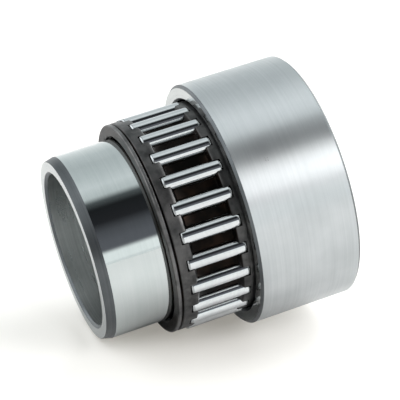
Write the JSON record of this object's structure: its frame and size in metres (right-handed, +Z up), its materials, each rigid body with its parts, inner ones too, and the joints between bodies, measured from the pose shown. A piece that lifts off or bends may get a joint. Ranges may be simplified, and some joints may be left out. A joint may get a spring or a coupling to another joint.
{
  "type": "needle roller bearing",
  "caption": "Separable needle roller bearing without ribs, drawn apart along its axis: plain outer ring, caged needle rollers with guide rings, and a plain inner ring.",
  "frame": {"origin": "centre of the outer ring, on the bearing axis", "axes": "+X along the bearing axis, from the drawn-out inner ring towards the outer ring's far face; +Z up; the bearing is a body of revolution about X apart from its rollers and cage pockets"},
  "size_m": [0.0406, 0.04, 0.04],
  "materials": {
    "ground_ring_steel": "ground and satin polished",
    "polished_ring_steel": "ground and superfinished, near mirror",
    "blackened_cage_steel": "black phosphated and oiled",
    "guide_ring_steel": "black phosphated, worn to grey on its edges",
    "needle_steel": "ground and lapped, bright"
  },
  "bodies": {
    "outer_ring": {"outer_ring": "ground_ring_steel"},
    "rear_guide_ring": {"rear_guide_ring": "guide_ring_steel"},
    "cage": {"cage": "blackened_cage_steel"},
    "front_guide_ring": {"front_guide_ring": "guide_ring_steel"},
    "inner_ring": {"inner_ring": "polished_ring_steel"},
    "needle_roller_01": {"needle_roller_01": "needle_steel"},
    "needle_roller_02": {"needle_roller_02": "needle_steel"},
    "needle_roller_03": {"needle_roller_03": "needle_steel"},
    "needle_roller_04": {"needle_roller_04": "needle_steel"},
    "needle_roller_05": {"needle_roller_05": "needle_steel"},
    "needle_roller_06": {"needle_roller_06": "needle_steel"},
    "needle_roller_07": {"needle_roller_07": "needle_steel"},
    "needle_roller_08": {"needle_roller_08": "needle_steel"},
    "needle_roller_09": {"needle_roller_09": "needle_steel"},
    "needle_roller_10": {"needle_roller_10": "needle_steel"},
    "needle_roller_11": {"needle_roller_11": "needle_steel"},
    "needle_roller_12": {"needle_roller_12": "needle_steel"},
    "needle_roller_13": {"needle_roller_13": "needle_steel"},
    "needle_roller_14": {"needle_roller_14": "needle_steel"},
    "needle_roller_15": {"needle_roller_15": "needle_steel"},
    "needle_roller_16": {"needle_roller_16": "needle_steel"},
    "needle_roller_17": {"needle_roller_17": "needle_steel"},
    "needle_roller_18": {"needle_roller_18": "needle_steel"},
    "needle_roller_19": {"needle_roller_19": "needle_steel"},
    "needle_roller_20": {"needle_roller_20": "needle_steel"},
    "needle_roller_21": {"needle_roller_21": "needle_steel"},
    "needle_roller_22": {"needle_roller_22": "needle_steel"},
    "needle_roller_23": {"needle_roller_23": "needle_steel"},
    "needle_roller_24": {"needle_roller_24": "needle_steel"}
  },
  "joints": [
    {"name": "cage_slide", "type": "slide", "parent": "outer_ring", "child": "rear_guide_ring", "axis": [1, 0, 0], "range_m": [0, 0.014]},
    {"name": "inner_ring_spin", "type": "hinge", "parent": "rear_guide_ring", "child": "front_guide_ring", "pos_m": [-0.014, 0, 0], "axis": [1, 0, 0], "continuous": true},
    {"name": "inner_ring_slide", "type": "slide", "parent": "front_guide_ring", "child": "inner_ring", "axis": [1, 0, 0], "range_m": [0, 0.0096]},
    {"name": "cage_spin", "type": "hinge", "parent": "rear_guide_ring", "child": "cage", "pos_m": [-0.014, 0, 0], "axis": [1, 0, 0], "continuous": true},
    {"name": "needle_roller_01_spin", "type": "hinge", "parent": "cage", "child": "needle_roller_01", "pos_m": [-0.014, 0, 0.01628], "axis": [1, 0, 0], "continuous": true},
    {"name": "needle_roller_02_spin", "type": "hinge", "parent": "cage", "child": "needle_roller_02", "pos_m": [-0.014, -0.00421, 0.01572], "axis": [1, 0, 0], "continuous": true},
    {"name": "needle_roller_03_spin", "type": "hinge", "parent": "cage", "child": "needle_roller_03", "pos_m": [-0.014, -0.00814, 0.01409], "axis": [1, 0, 0], "continuous": true},
    {"name": "needle_roller_04_spin", "type": "hinge", "parent": "cage", "child": "needle_roller_04", "pos_m": [-0.014, -0.01151, 0.01151], "axis": [1, 0, 0], "continuous": true},
    {"name": "needle_roller_05_spin", "type": "hinge", "parent": "cage", "child": "needle_roller_05", "pos_m": [-0.014, -0.01409, 0.00814], "axis": [1, 0, 0], "continuous": true},
    {"name": "needle_roller_06_spin", "type": "hinge", "parent": "cage", "child": "needle_roller_06", "pos_m": [-0.014, -0.01572, 0.00421], "axis": [1, 0, 0], "continuous": true},
    {"name": "needle_roller_07_spin", "type": "hinge", "parent": "cage", "child": "needle_roller_07", "pos_m": [-0.014, -0.01628, 0], "axis": [1, 0, 0], "continuous": true},
    {"name": "needle_roller_08_spin", "type": "hinge", "parent": "cage", "child": "needle_roller_08", "pos_m": [-0.014, -0.01572, -0.00421], "axis": [1, 0, 0], "continuous": true},
    {"name": "needle_roller_09_spin", "type": "hinge", "parent": "cage", "child": "needle_roller_09", "pos_m": [-0.014, -0.01409, -0.00814], "axis": [1, 0, 0], "continuous": true},
    {"name": "needle_roller_10_spin", "type": "hinge", "parent": "cage", "child": "needle_roller_10", "pos_m": [-0.014, -0.01151, -0.01151], "axis": [1, 0, 0], "continuous": true},
    {"name": "needle_roller_11_spin", "type": "hinge", "parent": "cage", "child": "needle_roller_11", "pos_m": [-0.014, -0.00814, -0.01409], "axis": [1, 0, 0], "continuous": true},
    {"name": "needle_roller_12_spin", "type": "hinge", "parent": "cage", "child": "needle_roller_12", "pos_m": [-0.014, -0.00421, -0.01572], "axis": [1, 0, 0], "continuous": true},
    {"name": "needle_roller_13_spin", "type": "hinge", "parent": "cage", "child": "needle_roller_13", "pos_m": [-0.014, 0, -0.01628], "axis": [1, 0, 0], "continuous": true},
    {"name": "needle_roller_14_spin", "type": "hinge", "parent": "cage", "child": "needle_roller_14", "pos_m": [-0.014, 0.00421, -0.01572], "axis": [1, 0, 0], "continuous": true},
    {"name": "needle_roller_15_spin", "type": "hinge", "parent": "cage", "child": "needle_roller_15", "pos_m": [-0.014, 0.00814, -0.01409], "axis": [1, 0, 0], "continuous": true},
    {"name": "needle_roller_16_spin", "type": "hinge", "parent": "cage", "child": "needle_roller_16", "pos_m": [-0.014, 0.01151, -0.01151], "axis": [1, 0, 0], "continuous": true},
    {"name": "needle_roller_17_spin", "type": "hinge", "parent": "cage", "child": "needle_roller_17", "pos_m": [-0.014, 0.01409, -0.00814], "axis": [1, 0, 0], "continuous": true},
    {"name": "needle_roller_18_spin", "type": "hinge", "parent": "cage", "child": "needle_roller_18", "pos_m": [-0.014, 0.01572, -0.00421], "axis": [1, 0, 0], "continuous": true},
    {"name": "needle_roller_19_spin", "type": "hinge", "parent": "cage", "child": "needle_roller_19", "pos_m": [-0.014, 0.01628, 0], "axis": [1, 0, 0], "continuous": true},
    {"name": "needle_roller_20_spin", "type": "hinge", "parent": "cage", "child": "needle_roller_20", "pos_m": [-0.014, 0.01572, 0.00421], "axis": [1, 0, 0], "continuous": true},
    {"name": "needle_roller_21_spin", "type": "hinge", "parent": "cage", "child": "needle_roller_21", "pos_m": [-0.014, 0.01409, 0.00814], "axis": [1, 0, 0], "continuous": true},
    {"name": "needle_roller_22_spin", "type": "hinge", "parent": "cage", "child": "needle_roller_22", "pos_m": [-0.014, 0.01151, 0.01151], "axis": [1, 0, 0], "continuous": true},
    {"name": "needle_roller_23_spin", "type": "hinge", "parent": "cage", "child": "needle_roller_23", "pos_m": [-0.014, 0.00814, 0.01409], "axis": [1, 0, 0], "continuous": true},
    {"name": "needle_roller_24_spin", "type": "hinge", "parent": "cage", "child": "needle_roller_24", "pos_m": [-0.014, 0.00421, 0.01572], "axis": [1, 0, 0], "continuous": true}
  ],
  "couplings": [
    {"joint": "cage_spin", "follows": "inner_ring_spin", "ratio": 0.46083},
    {"joint": "needle_roller_01_spin", "follows": "inner_ring_spin", "ratio": -6.47},
    {"joint": "needle_roller_02_spin", "follows": "inner_ring_spin", "ratio": -6.47},
    {"joint": "needle_roller_03_spin", "follows": "inner_ring_spin", "ratio": -6.47},
    {"joint": "needle_roller_04_spin", "follows": "inner_ring_spin", "ratio": -6.47},
    {"joint": "needle_roller_05_spin", "follows": "inner_ring_spin", "ratio": -6.47},
    {"joint": "needle_roller_06_spin", "follows": "inner_ring_spin", "ratio": -6.47},
    {"joint": "needle_roller_07_spin", "follows": "inner_ring_spin", "ratio": -6.47},
    {"joint": "needle_roller_08_spin", "follows": "inner_ring_spin", "ratio": -6.47},
    {"joint": "needle_roller_09_spin", "follows": "inner_ring_spin", "ratio": -6.47},
    {"joint": "needle_roller_10_spin", "follows": "inner_ring_spin", "ratio": -6.47},
    {"joint": "needle_roller_11_spin", "follows": "inner_ring_spin", "ratio": -6.47},
    {"joint": "needle_roller_12_spin", "follows": "inner_ring_spin", "ratio": -6.47},
    {"joint": "needle_roller_13_spin", "follows": "inner_ring_spin", "ratio": -6.47},
    {"joint": "needle_roller_14_spin", "follows": "inner_ring_spin", "ratio": -6.47},
    {"joint": "needle_roller_15_spin", "follows": "inner_ring_spin", "ratio": -6.47},
    {"joint": "needle_roller_16_spin", "follows": "inner_ring_spin", "ratio": -6.47},
    {"joint": "needle_roller_17_spin", "follows": "inner_ring_spin", "ratio": -6.47},
    {"joint": "needle_roller_18_spin", "follows": "inner_ring_spin", "ratio": -6.47},
    {"joint": "needle_roller_19_spin", "follows": "inner_ring_spin", "ratio": -6.47},
    {"joint": "needle_roller_20_spin", "follows": "inner_ring_spin", "ratio": -6.47},
    {"joint": "needle_roller_21_spin", "follows": "inner_ring_spin", "ratio": -6.47},
    {"joint": "needle_roller_22_spin", "follows": "inner_ring_spin", "ratio": -6.47},
    {"joint": "needle_roller_23_spin", "follows": "inner_ring_spin", "ratio": -6.47},
    {"joint": "needle_roller_24_spin", "follows": "inner_ring_spin", "ratio": -6.47}
  ]
}
